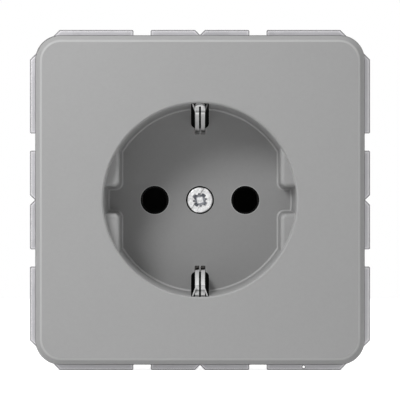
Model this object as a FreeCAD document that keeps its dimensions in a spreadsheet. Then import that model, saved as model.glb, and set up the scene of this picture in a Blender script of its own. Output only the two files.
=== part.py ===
import FreeCAD, Part
import math
import os
from types import SimpleNamespace

import Sketcher

# Type F wall socket, in millimetres. The wall plane is y = 0, the plate faces -Y, +Z is up,
# and the origin is the centre of the support ring on the wall plane.

Vector = FreeCAD.Vector
doc = FreeCAD.newDocument("WallSocket")

# Driving sizes: name, millimetres or degrees, meaning
DRIVING = [
    ("face_out", 9.0, "plate face before the wall"),
    ("plate_margin", 14.2, "width of the plate's face beside the recess"),
    ("plate_corner", 5.2, "plate corner radius"),
    ("plate_draft", 2.3, "draft of the plate edge, in degrees"),
    ("plate_bevel", 0.95, "bevel between plate face and edge"),
    ("plate_ease", 0.25, "narrow second bevel between plate face and bevel"),
    ("plate_wall", 2.2, "thickness of the plate face"),
    ("skirt_wall", 1.8, "thickness of the plate edge"),
    ("plate_gap", 0.3, "gap between plate edge and support ring"),
    ("recess_depth", 17.5, "plate face to recess floor"),
    ("wall_draft", 3.1, "draft of the recess wall, in degrees"),
    ("rim_dia", 40.4, "recess diameter at the plate face"),
    ("pot_wall", 1.5, "thickness of the recess wall"),
    ("floor_wall", 2.4, "thickness of the recess floor"),
    ("rim_break", 0.3, "broken edge of the recess rim"),
    ("floor_bevel", 0.3, "bevel between recess wall and floor"),
    ("key_deep", 2.85, "how far a key block stands in from the recess wall"),
    ("key_notch", 4.7, "notch between two key blocks, at the floor"),
    ("key_draft", 1.8, "draft of the key blocks, in degrees"),
    ("key_drop", 3.0, "plate face to the top of a key block"),
    ("key_corner", 1.3, "corner radius of a key block at the notch"),
    ("key_round", 0.85, "rounding of the top of a key block"),
    ("pin_pitch", 19.0, "distance between the pin holes"),
    ("pin_hole", 5.95, "pin hole diameter"),
    ("guide_hole", 5.2, "pin guide hole in the base"),
    ("well_dia", 5.9, "well for the screw head"),
    ("well_depth", 1.3, "depth of the screw well"),
    ("slot_width", 3.77, "width of an earth slot"),
    ("slot_deep", 4.2, "how far an earth slot runs in from the recess wall, at the floor"),
    ("slot_lip", 0.8, "plate left in front of an earth slot"),
    ("slot_corner", 1.0, "corner radius at the inner end of an earth slot"),
    ("slit_deep", 1.3, "how far a prong slit runs in past its earth slot"),
    ("screw_thread", 3.0, "thread of the cover and claw screws"),
    ("screw_free", 3.4, "free hole for that thread"),
    ("head_dia", 5.3, "cover screw head diameter"),
    ("head_high", 1.6, "cover screw head height"),
    ("head_crown", 0.2, "height of the crown on the cover screw head"),
    ("head_slot", 1.15, "width of the shallow slot across the cover screw head"),
    ("head_slot_in", 0.35, "depth of that slot"),
    ("head_slot_turn", 59.0, "turn of that slot, in degrees"),
    ("cover_screw_long", 8.0, "cover screw length under the head"),
    ("drive_width", 0.62, "width of a cross slot in the screw heads"),
    ("drive_reach", 3.1, "end to end length of a cross slot"),
    ("drive_depth", 0.9, "depth of the cross recess"),
    ("drive_turn", 54.0, "turn of the cross recess, in degrees"),
    ("tab_out", 1.1, "how far the ring's tabs stand out past the plate"),
    ("sheet", 1.0, "support ring sheet"),
    ("corner_cut", 6.2, "support ring side to the start of its corner cut"),
    ("tab_break", 0.2, "broken corner of a ring tab"),
    ("tab_gap_start", 10.3, "centre line to the gap between two tabs"),
    ("tab_gap_end", 13.9, "centre line to the far side of that gap"),
    ("tab_gap_depth", 1.6, "depth of the gap between tabs"),
    ("tab_notch", 1.03, "half width of the centre line notch"),
    ("strip_wide", 3.6, "width of the outer strip on the wall"),
    ("web_step", 0.6, "step of the ring's web before the wall"),
    ("ring_seat", 1.0, "how far the base stands out past the ring's hole"),
    ("tilt_room", 0.42, "how far a claw screw hole is drawn out to each side"),
    ("box_screws", 60.0, "diameter of the box screw circle"),
    ("box_slot", 3.6, "width of a box screw slot"),
    ("box_slot_angle", 36.0, "angle that a box screw slot spans"),
    ("keyhole_dia", 6.4, "keyhole for a screw head"),
    ("keyhole_angle", 25.0, "angle from the axis to a keyhole"),
    ("pip_dia", 0.5, "locating pip hole in a lower tab"),
    ("pip_side", 21.65, "centre line to the pip hole"),
    ("pip_edge", 0.65, "pip hole to the ring's lower edge"),
    ("cup_wall", 1.1, "thickness of the base cup at the ring"),
    ("chamber_room", 6.1, "depth of a terminal chamber, inner side to outer side"),
    ("base_deep", 32.0, "rear of the terminal cover behind the wall"),
    ("cup_gap", 0.5, "gap between recess pot and base cup"),
    ("cup_back", 14.0, "rear end of the full round of the base"),
    ("cover_thick", 2.5, "thickness of the terminal cover"),
    ("snap_long", 6.5, "snap arm in front of the terminal cover"),
    ("snap_wide", 4.0, "width of a snap arm"),
    ("snap_thick", 0.9, "thickness of a snap arm"),
    ("snap_catch", 0.5, "how far the catch of a snap arm hooks in"),
    ("snap_gap", 0.1, "gap round a snap arm"),
    ("strap_sheet", 0.6, "earth bracket sheet"),
    ("strap_wide", 8.0, "width of the earth bracket's bar"),
    ("prong_sheet", 0.45, "thickness of a prong, square to the bar"),
    ("collar_dia", 5.1, "drawn collar of the bracket's thread"),
    ("collar_back", 2.1, "how far the collar stands behind the bar"),
    ("seat_gap", 0.05, "gap between seated inner pieces"),
    ("prong", 0.81, "width of an earth prong"),
    ("prong_gap", 0.43, "gap between two earth prongs"),
    ("prong_root", 0.55, "inner end of an earth slot to a prong where it leaves the bar"),
    ("prong_rise", 3.6, "rise of a prong from its root to its crest"),
    ("tip_rise", 1.9, "rise of the lead-in from the crest to its tip"),
    ("arch", 0.55, "end of the top clip beyond its slot"),
    ("arch_round", 0.8, "corner radius of the top clip's end"),
    ("crest_in", 4.2, "plate face to the prong's crest"),
    ("tip_in", 2.2, "plate face to the tip of the lead-in"),
    ("chamber_wall", 1.2, "wall between a terminal chamber and the outside"),
    ("chamber_half", 9.4, "half length of a terminal chamber"),
    ("chamber_front", 15.0, "front end of a terminal chamber"),
    ("sleeve_front", 14.2, "front end of a contact chamber"),
    ("sleeve_half", 3.6, "half width of a contact chamber"),
    ("contact_back", 1.0, "rear end of a contact to the terminal cover"),
    ("contact_sheet", 0.8, "contact strip thickness"),
    ("contact_half", 2.6, "half height of a contact sleeve"),
    ("contact_mouth", 3.3, "pin axis to the outside of the sleeve mouth"),
    ("contact_waist", 2.95, "pin axis to the outside of the sleeve waist"),
    ("contact_lead", 4.4, "mouth of a sleeve to its waist"),
    ("contact_cheek", 0.9, "depth of the cheek that joins the two leaves at the rear"),
    ("wire_hole", 3.2, "wire hole diameter"),
    ("wire_in", 2.5, "outer side of a chamber to its wire holes"),
    ("wire_side", 5.0, "wire hole to the middle of its terminal"),
    ("spring_sheet", 0.4, "clamp spring strip"),
    ("spring_half", 2.6, "half width of a clamp spring"),
    ("spring_leg", 4.16, "length of a clamp spring's free leg, front to rear"),
    ("button_thick", 1.5, "thickness of a release button"),
    ("button_half", 2.25, "half width of a release button"),
    ("button_travel", 1.5, "travel of a release button"),
    ("button_nose", 1.0, "nose of a release button in front of its bar"),
    ("button_proud", 1.0, "button behind the terminal cover"),
    ("button_gap", 0.2, "gap round a release button"),
    ("claw_axis", 2.1, "base side to a claw screw"),
    ("claw_sheet", 1.5, "claw sheet"),
    ("claw_half", 4.5, "half height of a claw"),
    ("claw_wide", 5.5, "depth of a claw, inner edge to outside"),
    ("claw_under", 0.2, "how far a claw reaches in past the base side"),
    ("claw_front", 13.0, "front face of a claw at rest"),
    ("claw_back", 24.0, "teeth of a claw at rest"),
    ("claw_tooth", 0.75, "height of a claw's tooth"),
    ("claw_ramp", 6.0, "length of the ramp that a claw rides up"),
    ("claw_screw_long", 26.0, "claw screw length under the head"),
    ("claw_head_dia", 5.0, "claw screw head diameter"),
    ("claw_head_high", 1.5, "claw screw head height"),
    ("head_tilt", 12.0, "slope under a claw screw head, in degrees"),
    ("rivet_dia", 2.6, "ring rivet shank"),
    ("rivet_head", 4.6, "ring rivet head"),
    ("rivet_dome", 0.85, "height of a rivet head"),
    ("rivet_out", 2.6, "base side to a ring rivet"),
    ("ear_dia", 6.0, "base ear round a rivet"),
    ("ear_back", 4.0, "rear of an ear behind the wall"),
    ("earth_rivet_reach", 11.5, "centre to the earth rivet"),
    ("earth_rivet_dia", 2.4, "earth rivet shank"),
    ("earth_rivet_head", 4.3, "earth rivet head"),
]


def sized(amount):
    """A plain number as a size of its own."""
    if isinstance(amount, Size):
        return amount
    return Size(float(amount), "(%r)" % float(amount))


class Size:
    """A size as a number, with the sheet formula that gives the same number."""

    def __init__(self, number, formula):
        self.number = number
        self.formula = formula

    def joined(self, sign, other, number):
        return Size(number, "(%s %s %s)" % (self.formula, sign, other.formula))

    def __add__(self, other):
        other = sized(other)
        return self.joined("+", other, self.number + other.number)

    def __sub__(self, other):
        other = sized(other)
        return self.joined("-", other, self.number - other.number)

    def __mul__(self, other):
        other = sized(other)
        return self.joined("*", other, self.number * other.number)

    def __truediv__(self, other):
        other = sized(other)
        return self.joined("/", other, self.number / other.number)

    def __radd__(self, other):
        return sized(other) + self

    def __rsub__(self, other):
        return sized(other) - self

    def __rmul__(self, other):
        return sized(other) * self

    def __neg__(self):
        return sized(0) - self


def make_sheet():
    """The spreadsheet of driving sizes, and the same sizes by name."""
    sheet = doc.addObject("Spreadsheet::Sheet", "Sizes")
    for row, (name, number, meaning) in enumerate(DRIVING, start=1):
        sheet.set("A%d" % row, meaning)
        sheet.set("B%d" % row, str(number))
        sheet.setAlias("B%d" % row, name)
    doc.recompute()
    return SimpleNamespace(**{name: Size(number, "Sizes." + name) for name, number, _ in DRIVING})


def slope(angle):
    """The tangent of an angle on the sheet."""
    return Size(math.tan(math.radians(angle.number)), "tan(%s)" % angle.formula)


d = make_sheet()

# Places worked out from the driving sizes; depths are y, positive into the wall
FACE = -d.face_out
FLOOR = FACE + d.recess_depth
FLOOR_BACK = FLOOR + d.floor_wall
PLATE_BACK = -(d.sheet + d.plate_gap)
WEB_BACK = -d.web_step
WEB_FRONT = WEB_BACK - d.sheet
STRAP_FRONT = FLOOR_BACK + d.seat_gap
STRAP_BACK = STRAP_FRONT + d.strap_sheet
CHAMBER_BACK = d.base_deep - d.cover_thick
CONTACT_BACK = CHAMBER_BACK - d.contact_back
CLIP_WIDE = d.prong * 2 + d.prong_gap
PIN_SIDE = d.pin_pitch / 2
RIM = d.rim_dia / 2
PLATE_HALF = RIM + d.plate_margin
FLOOR_RADIUS = RIM - d.recess_depth * slope(d.wall_draft)
POT_RADIUS = RIM + d.pot_wall
BASE_RADIUS = POT_RADIUS + d.cup_gap + d.cup_wall
SLOT_INNER = FLOOR_RADIUS - d.slot_deep
PRONG_ROOT = SLOT_INNER - d.prong_root
PRONG_CREST = PRONG_ROOT + d.prong_rise
PRONG_TIP = PRONG_CREST + d.tip_rise
RING_HALF = PLATE_HALF + d.tab_out
CHAMBER_IN = PIN_SIDE + d.sleeve_half + d.button_gap
CHAMBER_OUT = CHAMBER_IN + d.chamber_room
BASE_HALF = CHAMBER_OUT + d.chamber_wall
WIRE_REACH = CHAMBER_OUT - d.wire_in
CLAW_AXIS = BASE_RADIUS + d.claw_axis
CLAW_INNER = BASE_RADIUS - d.claw_under
CLAW_OUTER = CLAW_INNER + d.claw_wide
RIVET_REACH = (BASE_RADIUS + d.rivet_out) / math.sqrt(2)
ROOT2 = math.sqrt(2)
PAST = 1.0  # how far a cutter runs past what it cuts
NEAR = 0.01  # how close counts as the same place
SNAP_TURNS = (45, 135, 225, 315)


def bind(thing, prop, amount):
    thing.setExpression(prop, sized(amount).formula)


def block(name, x, y, z):
    """A box between a low and a high limit on each axis."""
    box = doc.addObject("Part::Box", name)
    for prop, axis, (low, high) in (("Length", "x", x), ("Width", "y", y), ("Height", "z", z)):
        bind(box, prop, sized(high) - low)
        bind(box, "Placement.Base." + axis, low)
    return box


def rod(name, radius, y, x=0, z=0, back_radius=None):
    """A cylinder along Y from y[0] to y[1], or a cone where a rear radius is given."""
    kind = "Part::Cylinder" if back_radius is None else "Part::Cone"
    round_part = doc.addObject(kind, name)
    round_part.Placement = FreeCAD.Placement(Vector(), FreeCAD.Rotation(Vector(1, 0, 0), -90))
    if back_radius is None:
        bind(round_part, "Radius", radius)
    else:
        bind(round_part, "Radius1", radius)
        bind(round_part, "Radius2", back_radius)
    bind(round_part, "Height", sized(y[1]) - y[0])
    for axis, amount in (("x", x), ("y", y[0]), ("z", z)):
        bind(round_part, "Placement.Base." + axis, amount)
    return round_part


def mirrored(near, far, side):
    """The limits from near to far on the side +1, or the same ones mirrored for the side -1."""
    return (sized(near), sized(far)) if side > 0 else (-sized(far), -sized(near))


def fuse(name, *pieces):
    joined = doc.addObject("Part::MultiFuse", name)
    joined.Shapes = list(pieces)
    return joined


def cut(name, stock, *tools):
    result = doc.addObject("Part::Cut", name)
    result.Base = stock
    result.Tool = tools[0] if len(tools) == 1 else fuse(name + "_tools", *tools)
    return result


def common(name, first, second):
    result = doc.addObject("Part::MultiCommon", name)
    result.Shapes = [first, second]
    return result


def turned(name, thing, angle):
    """A copy of a piece turned about the Y axis, by an angle in degrees."""
    copy = doc.addObject("Part::Compound", name)
    copy.Links = [thing]
    copy.Placement = FreeCAD.Placement(Vector(), FreeCAD.Rotation(Vector(0, 1, 0), angle))
    return copy


def origin_plane(body, role):
    return [feature for feature in body.Origin.OriginFeatures if feature.Role == role][0]


def outline(body, name, plane, corners, offset=0):
    """A closed sketch through corners, each held by its two distances from the origin."""
    sketch = body.newObject("Sketcher::SketchObject", name)
    sketch.AttachmentSupport = [(origin_plane(body, plane), "")]
    sketch.MapMode = "FlatFace"
    bind(sketch, "AttachmentOffset.Base.z", offset)
    places = [(sized(x), sized(y)) for x, y in corners]
    points = [Vector(x.number, y.number, 0) for x, y in places]
    count = len(points)
    for index in range(count):
        sketch.addGeometry(Part.LineSegment(points[index], points[(index + 1) % count]), False)
    for index in range(count):
        sketch.addConstraint(Sketcher.Constraint("Coincident", index, 2, (index + 1) % count, 1))
    for index, place in enumerate(places):
        for kind, amount in zip(("DistanceX", "DistanceY"), place):
            held = sketch.addConstraint(Sketcher.Constraint(kind, -1, 1, index, 1, amount.number))
            bind(sketch, "Constraints[%d]" % held, amount)
    return sketch


def pad(body, sketch, length, both_ways=False):
    feature = body.newObject("PartDesign::Pad", sketch.Name + "_pad")
    feature.Profile = sketch
    bind(feature, "Length", length)
    if both_ways:
        feature.SideType = "Symmetric"
    return feature


def drafted(body, name, y, front, back):
    """A block with drafted sides, from its half width and half height at the front and the back."""
    feature = body.newObject("PartDesign::AdditiveWedge", name)
    bind(feature, "Ymin", y[0])
    bind(feature, "Ymax", y[1])
    for axis, half in (("X", front[0]), ("Z", front[1]), ("X2", back[0]), ("Z2", back[1])):
        bind(feature, axis + "min", -half)
        bind(feature, axis + "max", half)
    return feature


def pocket(body, sketch, length, towards_front=False, both_ways=False):
    feature = body.newObject("PartDesign::Pocket", sketch.Name + "_pocket")
    feature.Profile = sketch
    feature.Reversed = towards_front
    bind(feature, "Length", length)
    if both_ways:
        feature.SideType = "Symmetric"
    return feature


def revolved(body, sketch, kind):
    """A revolution or groove of a half profile about the Y axis."""
    feature = body.newObject("PartDesign::" + kind, sketch.Name + "_turned")
    feature.Profile = sketch
    feature.ReferenceAxis = (sketch, ["V_Axis"])
    feature.Angle = 360
    return feature


def named_edges(shape, wanted):
    """Names of the edges that a test picks."""
    return ["Edge%d" % number for number, edge in enumerate(shape.Edges, start=1) if wanted(edge)]


def rounding(body, before, wanted, radius):
    """A fillet with a bound radius on the edges that a test picks."""
    doc.recompute()
    feature = body.newObject("PartDesign::Fillet", before.Name + "_round")
    feature.Base = (before, named_edges(before.Shape, wanted))
    bind(feature, "Radius", radius)
    doc.recompute()
    return feature


def bevelled(body, before, wanted, size):
    """A chamfer with a bound size on the edges that a test picks."""
    doc.recompute()
    feature = body.newObject("PartDesign::Chamfer", before.Name + "_bevel")
    feature.Base = (before, named_edges(before.Shape, wanted))
    bind(feature, "Size", size)
    doc.recompute()
    return feature


def rounded(name, stock, wanted, radius):
    """A fillet on a boolean's edges, from the sheet's own value."""
    doc.recompute()
    feature = doc.addObject("Part::Fillet", name)
    feature.Base = stock
    edges = [number for number, edge in enumerate(stock.Shape.Edges, start=1) if wanted(edge)]
    feature.Edges = [(number, radius.number, radius.number) for number in edges]
    doc.recompute()
    return feature


def broken(name, stock, wanted, size):
    """A small bevel on a boolean's edges, from the sheet's own value."""
    doc.recompute()
    feature = doc.addObject("Part::Chamfer", name)
    feature.Base = stock
    edges = [number for number, edge in enumerate(stock.Shape.Edges, start=1) if wanted(edge)]
    feature.Edges = [(number, size.number, size.number) for number in edges]
    doc.recompute()
    return feature


def along_y(edge):
    """True for an edge that runs front to back, with or without draft."""
    box = edge.BoundBox
    return box.YLength > 10 * max(box.XLength, box.ZLength)


def flat_at(edge, depth):
    """True for an edge that lies in the plane y = depth."""
    box = edge.BoundBox
    return abs(box.YMin - depth.number) < NEAR and abs(box.YMax - depth.number) < NEAR


def strip(name, plane, corners, width):
    """A bent strip or prism: a closed profile, padded evenly to both sides."""
    body = doc.addObject("PartDesign::Body", name)
    pad(body, outline(body, name + "_profile", plane, corners), width, both_ways=True)
    return body


def finished(name, thing):
    """Gives a finished piece its node name."""
    thing.Label = name
    return name, thing


def eight_fold(corners):
    """A half side's corners, right of the top centre line, carried round all four sides."""
    side = [(-x, z) for x, z in reversed(corners)] + corners[1:]
    turns = [side, [(z, -x) for x, z in side], [(-x, -z) for x, z in side], [(-z, x) for x, z in side]]
    return [corner for turn in turns for corner in turn]


# Support ring: one stamping of galvanised sheet. The outer strip with its tabs lies on the wall,
# and the web inside it is stepped forward and carries the base, the claws and the box screws.
def make_ring():
    body = doc.addObject("PartDesign::Body", "ring_blank")
    half = RING_HALF
    gap_floor = half - d.tab_gap_depth
    half_side = [
        (sized(0), half - d.tab_notch),
        (d.tab_notch, half),
        (d.tab_gap_start, half),
        (d.tab_gap_start, gap_floor),
        (d.tab_gap_end, gap_floor),
        (d.tab_gap_end, half),
        (half - d.corner_cut, half),
    ]
    strip_pad = pad(body, outline(body, "ring_outline", "XZ_Plane", eight_fold(half_side)), d.sheet)
    inner = half - d.strip_wide
    inner_corner = half * 2 - d.corner_cut - d.strip_wide * ROOT2 - inner
    window = eight_fold([(sized(0), inner), (inner_corner, inner)])
    opened = pocket(body, outline(body, "ring_window", "XZ_Plane", window, d.sheet), d.sheet)
    body.Tip = opened
    lap = d.sheet / 2
    web = eight_fold([(sized(0), inner + lap), (inner_corner + lap, inner + lap)])
    web_pad = pad(body, outline(body, "ring_web", "XZ_Plane", web, d.web_step), d.sheet)

    def outer_corner(edge):
        middle = edge.CenterOfMass
        reach = max(abs(middle.x), abs(middle.z))
        offset = min(abs(middle.x), abs(middle.z))
        at_gap = [abs(offset - gap.number) < NEAR for gap in (d.tab_gap_start, d.tab_gap_end)]
        return along_y(edge) and any(at_gap) and reach > gap_floor.number - NEAR

    bevelled(body, web_pad, outer_corner, d.tab_break)
    through = (WEB_FRONT - PAST, sized(PAST))
    tools = [rod("ring_centre", BASE_RADIUS - d.ring_seat, through)]
    circle = d.box_screws / 2
    for index, turn in enumerate((0, 90, 180, 270)):
        outer = rod("slot_outer_%d" % index, circle + d.box_slot / 2, through)
        inner_rod = rod("slot_inner_%d" % index, circle - d.box_slot / 2, through)
        arc = cut("slot_arc_%d" % index, outer, inner_rod)
        spread = RING_HALF * slope(d.box_slot_angle / 2)
        wedge = strip("slot_wedge_%d" % index, "XZ_Plane",
                      [(0, 0), (RING_HALF, -spread), (RING_HALF, spread)], (PAST - WEB_FRONT) * 2)
        sector = common("slot_sector_%d" % index, arc, wedge)
        tools.append(turned("slot_%d" % index, sector, turn))
        for end, angle in (("a", d.box_slot_angle.number / 2), ("b", -d.box_slot_angle.number / 2)):
            place = math.radians(turn + angle)
            tools.append(rod("slot_end_%d%s" % (index, end), d.box_slot / 2, through,
                             circle * math.cos(place), circle * math.sin(place)))
        place = math.radians(turn + d.keyhole_angle.number)
        tools.append(rod("keyhole_%d" % index, d.keyhole_dia / 2, through,
                         circle * math.cos(place), circle * math.sin(place)))
    for index, side in enumerate((-1, 1)):
        tools.append(rod("claw_hole_%d" % index, d.screw_free / 2, through, CLAW_AXIS * side))
        middle = CLAW_AXIS * side
        tools.append(block("claw_slot_%d" % index, (middle - d.tilt_room, middle + d.tilt_room), through,
                           (-d.screw_free / 2, d.screw_free / 2)))
        reach = RIVET_REACH * side
        tools.append(rod("ring_rivet_hole_%d" % index, d.rivet_dia / 2 + d.seat_gap, through, reach, reach))
    tools.append(rod("pip_hole", d.pip_dia / 2, through, d.pip_side, d.pip_edge - half))
    return finished("support_ring", cut("ring", body, *tools))


# Cover plate: one moulding with the face, its edge all round, the recess pot, the four key
# blocks at its sides, the earth slots, the pin holes and the well of the cover screw.
def make_cover():
    body = doc.addObject("PartDesign::Body", "cover_blank")
    half = PLATE_HALF
    front_half = half - (PLATE_BACK - FACE) * slope(d.plate_draft)
    slab = drafted(body, "cover_slab", (FACE, PLATE_BACK), (front_half, front_half), (half, half))
    corners = rounding(body, slab, along_y, d.plate_corner)
    bevel = bevelled(body, corners, lambda line: flat_at(line, FACE), d.plate_bevel)
    bevelled(body, bevel, lambda line: flat_at(line, FACE), d.plate_ease)
    inside = half - d.skirt_wall
    cavity = [(-inside, -inside), (inside, -inside), (inside, inside), (-inside, inside)]
    hollow = pocket(body, outline(body, "cover_cavity", "XZ_Plane", cavity, -PLATE_BACK),
                    PLATE_BACK - FACE - d.plate_wall, towards_front=True)

    def cavity_corner(line):
        return along_y(line) and abs(abs(line.CenterOfMass.x) - inside.number) < NEAR

    rounding(body, hollow, cavity_corner, d.plate_corner - d.skirt_wall)
    pot_front = FACE + d.plate_wall / 2
    pot = [
        (sized(0), pot_front),
        (POT_RADIUS, pot_front),
        (FLOOR_RADIUS + d.pot_wall, FLOOR_BACK),
        (sized(0), FLOOR_BACK),
    ]
    body.Tip = revolved(body, outline(body, "pot_profile", "XY_Plane", pot), "Revolution")

    cone = rod("recess_cone", RIM, (FACE, FLOOR), back_radius=FLOOR_RADIUS)
    reach = RIM * 2
    mouth = (FACE - PAST, FACE + d.key_drop)
    top = block("recess_mouth", (-reach, reach), mouth, (-reach, reach))
    flat = FLOOR_RADIUS - d.key_deep
    notch = d.key_notch / 2
    plan = doc.addObject("PartDesign::Body", "recess_plan")
    spread = d.recess_depth * slope(d.key_draft)
    drafted(plan, "recess_between_keys", (FACE, FLOOR), (flat + spread, reach), (flat, reach))
    cross = drafted(plan, "recess_notches", (FACE, FLOOR), (reach, notch + spread), (reach, notch))

    def key_edge(line):
        middle = line.CenterOfMass
        return along_y(line) and abs(middle.x) < (flat + spread).number

    rounding(plan, cross, key_edge, d.key_corner)
    recess = common("recess_form", cone, fuse("recess_whole", plan, top))
    recess_broken = broken("recess_broken", recess, lambda line: flat_at(line, FLOOR), d.floor_bevel)
    hollowed = cut("cover_hollowed", body, recess_broken)

    def rim_edge(line):
        on_axis = abs(line.CenterOfMass.x) < NEAR
        return flat_at(line, FACE) and on_axis and line.BoundBox.XMax < RIM.number + NEAR

    rim = broken("cover_rim", hollowed, rim_edge, d.rim_break)
    soft_keys = rounded("cover_keys", rim, key_top_edge, d.key_round)

    tools = []
    through = (FLOOR - PAST, FLOOR_BACK + PAST)
    for side_name, side in (("left", -1), ("right", 1)):
        axis = PIN_SIDE * side
        tools.append(rod("pin_hole_" + side_name, d.pin_hole / 2, through, axis))
    tools.append(rod("screw_well", d.well_dia / 2, (FLOOR - PAST, FLOOR + d.well_depth)))
    tools.append(rod("screw_way", d.screw_free / 2, through))
    for turn_name, turn in (("top", 1), ("bottom", -1)):
        tools.append(earth_slot(turn_name, turn))
    return finished("cover_plate", cut("cover", soft_keys, *tools))


def key_top_edge(line):
    """True for the inner edges of a key block's top, but not where it meets the recess wall."""
    inner = (RIM + FLOOR_RADIUS) / 2 - d.rim_break
    middle = line.valueAt((line.FirstParameter + line.LastParameter) / 2)
    on_wall = math.hypot(middle.x, middle.z) > inner.number
    return flat_at(line, FACE + d.key_drop) and not on_wall


def earth_slot(name, side):
    """The slot through floor and wall round one earth clip, with a slit for each prong."""
    half = d.slot_width / 2
    outer = (POT_RADIUS + PAST) * side
    plan = [(-half, outer), (-half, SLOT_INNER * side), (half, SLOT_INNER * side), (half, outer)]
    front = FACE + d.slot_lip
    body = doc.addObject("PartDesign::Body", "earth_slot_" + name)
    back = FLOOR_BACK + PAST
    slot = pad(body, outline(body, "earth_slot_plan_" + name, "XZ_Plane", plan, -back), back - front)

    def inner_corner(line):
        return along_y(line) and abs(line.CenterOfMass.z) < SLOT_INNER.number + d.slot_corner.number

    rounding(body, slot, inner_corner, d.slot_corner)
    free = d.seat_gap * 2
    z = mirrored(SLOT_INNER - d.slit_deep, SLOT_INNER + PAST, side)
    near = d.prong_gap / 2 - free
    far = d.prong_gap / 2 + d.prong + free
    slits = []
    for index, prong_side in enumerate((-1, 1)):
        slits.append(block("prong_slit_%s_%d" % (name, index), mirrored(near, far, prong_side),
                           (FLOOR - PAST, back), z))
    return fuse("earth_cut_" + name, body, *slits)


def drive_cross(name, face, x=0):
    """The cross recess of a screw head, cut from its front face."""
    reach = d.drive_reach / 2
    width = d.drive_width / 2
    arms = []
    for index, angle in enumerate((d.drive_turn.number, d.drive_turn.number + 90)):
        arm = block("%s_arm_%d" % (name, index), (-reach, reach), (face - PAST, face + d.drive_depth),
                    (-width, width))
        arms.append(turned("%s_turned_%d" % (name, index), arm, -angle))
    cross = fuse(name + "_cross", *arms)
    bind(cross, "Placement.Base.x", x)
    return cross


# Cover screw: zinc plated, with a round head that takes a cross or a flat driver. It sits in
# the well of the recess floor and draws the cover plate onto the earth bracket's threaded hole.
def make_cover_screw():
    head_back = FLOOR + d.well_depth
    head_front = head_back - d.head_high
    crown = d.head_crown
    head = rod("screw_head", d.head_dia / 2, (head_front + crown, head_back))
    top = rod("screw_crown", d.head_dia / 2 - crown, (head_front, head_front + crown),
              back_radius=d.head_dia / 2)
    shank = rod("screw_shank", d.screw_thread / 2, (head_back, head_back + d.cover_screw_long))
    flat_slot = block("screw_flat", (-d.head_dia, d.head_dia),
                      (head_front - PAST, head_front + d.head_slot_in), (-d.head_slot / 2, d.head_slot / 2))
    slot = turned("screw_flat_turned", flat_slot, -d.head_slot_turn.number)
    drive = drive_cross("screw_drive", head_front)
    return finished("cover_screw", cut("screw", fuse("screw_blank", head, top, shank), slot, drive))


# Earth bracket: one stamping of plated bronze strip. A flat bar lies behind the recess floor,
# holds the cover screw in its drawn thread, and ends in two slotted, bowed contact clips.
def make_bracket():
    body = doc.addObject("PartDesign::Body", "bracket_blank")
    root = PRONG_ROOT
    bar_end = root - d.strap_sheet
    half = d.strap_wide / 2
    neck = CLIP_WIDE / 2
    taper = bar_end - half
    bar = [
        (-half, -taper), (-neck, -bar_end), (neck, -bar_end), (half, -taper),
        (half, taper), (neck, bar_end), (-neck, bar_end), (-half, taper),
    ]
    pad(body, outline(body, "bar_plan", "XZ_Plane", bar, -STRAP_BACK), d.strap_sheet)
    crest = FACE + d.crest_in
    tip = FACE + d.tip_in
    sheet = d.prong_sheet
    side = [
        (STRAP_FRONT, bar_end - d.strap_sheet),
        (STRAP_FRONT, root - sheet / 2),
        (crest, PRONG_CREST - sheet / 2),
        (tip, PRONG_TIP - sheet / 2),
        (tip + sheet / 2, PRONG_TIP + sheet / 2),
        (crest + sheet / 4, PRONG_CREST + sheet / 2),
        (STRAP_BACK, root + sheet / 2),
        (STRAP_BACK, bar_end - d.strap_sheet),
    ]
    top_clip = pad(body, outline(body, "clip_side_top", "YZ_Plane", side), CLIP_WIDE, both_ways=True)

    def arch_corner(line):
        middle = line.CenterOfMass
        at_side = abs(abs(middle.x) - CLIP_WIDE.number / 2) < NEAR
        return at_side and middle.z > PRONG_TIP.number - sheet.number and line.Length < d.prong.number

    rounding(body, top_clip, arch_corner, d.arch_round)
    low_side = [(y, -z) for y, z in side]
    pad(body, outline(body, "clip_side_bottom", "YZ_Plane", low_side), CLIP_WIDE, both_ways=True)
    slots = []
    for name, low, high in (("top", root - d.strap_sheet, PRONG_TIP - d.arch),
                            ("bottom", -PRONG_TIP - PAST, d.strap_sheet - root)):
        slots.append(block("prong_slot_" + name, (-d.prong_gap / 2, d.prong_gap / 2), (FACE, STRAP_FRONT),
                           (low, high)))
    collar_back = STRAP_BACK + d.collar_back
    collar = rod("thread_collar", d.collar_dia / 2, (STRAP_FRONT, collar_back))
    hole = rod("thread_hole", d.screw_thread / 2 + d.seat_gap, (FLOOR_BACK - PAST, collar_back + PAST))
    rivet_hole = rod("bar_rivet_hole", d.earth_rivet_dia / 2, (FLOOR_BACK - PAST, STRAP_BACK + PAST),
                     z=d.earth_rivet_reach)
    wings = [wing(name, sign, edge) for name, sign in (("top", 1), ("bottom", -1)) for edge in (-1, 1)]
    blank = fuse("bracket_joined", body, collar, *wings)
    return finished("earth_bracket", cut("bracket", blank, hole, rivet_hole, *slots))


def wing(name, sign, edge):
    """A thin flange that flares from a prong's outer edge at the lead-in."""
    near = CLIP_WIDE / 2 * edge
    far = (d.slot_width / 2 - d.seat_gap * 4) * edge
    thin = d.strap_sheet / 2 * -edge
    start = (PRONG_CREST + d.strap_sheet / 4) * sign
    end = PRONG_TIP * sign
    plan = [(near + thin, start), (near, start), (far, end), (far + thin, end)]
    body = doc.addObject("PartDesign::Body", "wing_%s_%s" % (name, "left" if edge < 0 else "right"))
    front = FACE + d.tip_in + d.strap_sheet / 2
    back = FACE + d.crest_in + d.strap_sheet / 2
    pad(body, outline(body, body.Name + "_plan", "XZ_Plane", plan, -back), back - front)
    return body


def unit_turns():
    """The three terminals: one pole at the right, the other at the left, earth at the top."""
    return (("right", 0), ("left", 180), ("earth", -90))


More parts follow.
